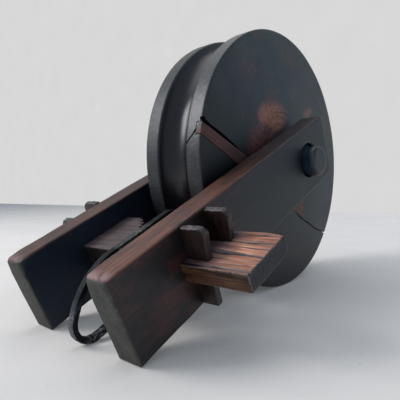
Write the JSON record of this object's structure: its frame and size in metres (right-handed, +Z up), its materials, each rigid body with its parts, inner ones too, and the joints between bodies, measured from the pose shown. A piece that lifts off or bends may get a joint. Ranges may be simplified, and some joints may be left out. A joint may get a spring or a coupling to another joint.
{
  "type": "wooden rope pulley",
  "caption": "Old wooden rope pulley: grooved wheel on a round axle between two cheek boards, joined by a pegged tie beam that carries a forged iron hanging ring.",
  "frame": {"origin": "on the ground, under the middle of the object's box, as it stands on its wheel and on the tails of its two boards", "axes": "+X from the tails of the boards to the wheel, +Y along the axle to the far board, +Z up"},
  "size_m": [0.5184, 0.319, 0.36],
  "materials": {
    "sheave_wood": "blackened, hand-polished hardwood with worn rims",
    "strip_wood": "brown, dull let-in strip",
    "axle_wood": "black, polished hardwood",
    "cheek_wood": "blackened boards with brown worn edges",
    "tie_wood": "weathered, ridged brown wood",
    "peg_wood": "dark split hardwood with pale tops",
    "ring_iron": "dark forged iron, hammered"
  },
  "bodies": {
    "side_frame": {"near_cheek": "cheek_wood", "far_cheek": "cheek_wood", "tie_beam": "tie_wood", "axle": "axle_wood"},
    "wheel": {"sheave": "sheave_wood", "sheave_strip": "strip_wood"},
    "ring": {"hanging_ring": "ring_iron"},
    "peg_near_tail": {"near_tail_peg": "peg_wood"},
    "peg_near_wheel": {"near_wheel_peg": "peg_wood"},
    "peg_far_tail": {"far_tail_peg": "peg_wood"},
    "peg_far_wheel": {"far_wheel_peg": "peg_wood"}
  },
  "joints": [
    {"name": "wheel_spin", "type": "hinge", "parent": "side_frame", "child": "wheel", "pos_m": [0.07918, 0, 0.18], "axis": [0, 1, 0], "continuous": true},
    {"name": "ring_swing", "type": "hinge", "parent": "side_frame", "child": "ring", "pos_m": [-0.14348, 0, 0.1027], "axis": [0, 1, 0], "range_deg": [0, 20]},
    {"name": "near_tail_peg_draw", "type": "slide", "parent": "side_frame", "child": "peg_near_tail", "axis": [-0.3995, 0, 0.9167], "range_m": [0, 0.05]},
    {"name": "near_wheel_peg_draw", "type": "slide", "parent": "side_frame", "child": "peg_near_wheel", "axis": [-0.3995, 0, 0.9167], "range_m": [0, 0.05]},
    {"name": "far_tail_peg_draw", "type": "slide", "parent": "side_frame", "child": "peg_far_tail", "axis": [-0.3995, 0, 0.9167], "range_m": [0, 0.05]},
    {"name": "far_wheel_peg_draw", "type": "slide", "parent": "side_frame", "child": "peg_far_wheel", "axis": [-0.3995, 0, 0.9167], "range_m": [0, 0.05]}
  ]
}
